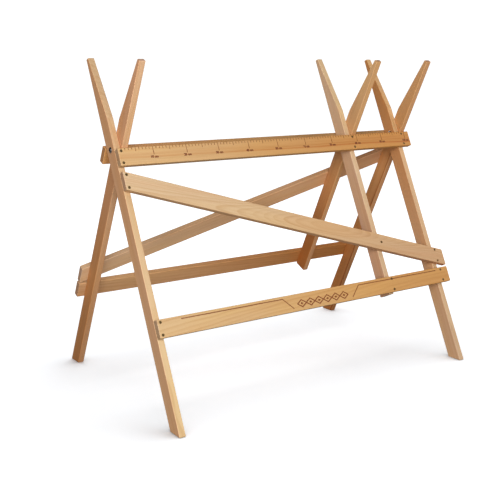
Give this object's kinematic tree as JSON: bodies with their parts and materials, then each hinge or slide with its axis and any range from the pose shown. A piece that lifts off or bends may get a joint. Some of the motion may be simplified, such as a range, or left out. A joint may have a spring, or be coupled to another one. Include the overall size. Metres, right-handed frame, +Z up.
{
  "type": "folding sawhorse",
  "caption": "Wooden folding log sawhorse: crossed tapered legs form a V cradle over two braced frames that hinge on pivot bolts and fold flat, with a ruler on one rail.",
  "frame": {"origin": "on the floor under the pivot line, halfway between the outermost legs' outer faces", "axes": "+X along the boards, from the left trestle to the pair of trestles on the right; -Y is the front, the side with the ruler; +Z up"},
  "size_m": [1.029, 0.6788, 0.8959],
  "materials": {
    "leg_wood": "sanded beech with a light oil",
    "board_wood": "sanded beech with a light oil",
    "zinc_screw": "yellow zinc plating",
    "bolt_steel": "dark zinc plating"
  },
  "bodies": {
    "front_frame": {"left_front_leg": "leg_wood", "middle_front_leg": "leg_wood", "right_front_leg": "leg_wood", "ruler_rail": "board_wood", "front_diagonal_brace": "board_wood", "front_lower_rail": "board_wood", "ruler_rail_screws": "zinc_screw", "front_diagonal_brace_screws": "zinc_screw", "front_lower_rail_screws": "zinc_screw", "left_pivot_bolt": "bolt_steel", "left_pivot_washer": "bolt_steel", "left_pivot_nut": "bolt_steel", "right_pivot_bolt": "bolt_steel", "right_pivot_washer": "bolt_steel", "right_pivot_nut": "bolt_steel"},
    "rear_frame": {"left_rear_leg": "leg_wood", "middle_rear_leg": "leg_wood", "right_rear_leg": "leg_wood", "rear_upper_rail": "board_wood", "rear_diagonal_brace": "board_wood", "rear_lower_rail": "board_wood", "rear_upper_rail_screws": "zinc_screw", "rear_diagonal_brace_screws": "zinc_screw", "rear_lower_rail_screws": "zinc_screw"}
  },
  "joints": [
    {"name": "fold", "type": "hinge", "parent": "front_frame", "child": "rear_frame", "pos_m": [0, 0, 0.664], "axis": [-1, 0, 0], "range_deg": [0, 50.5]}
  ]
}
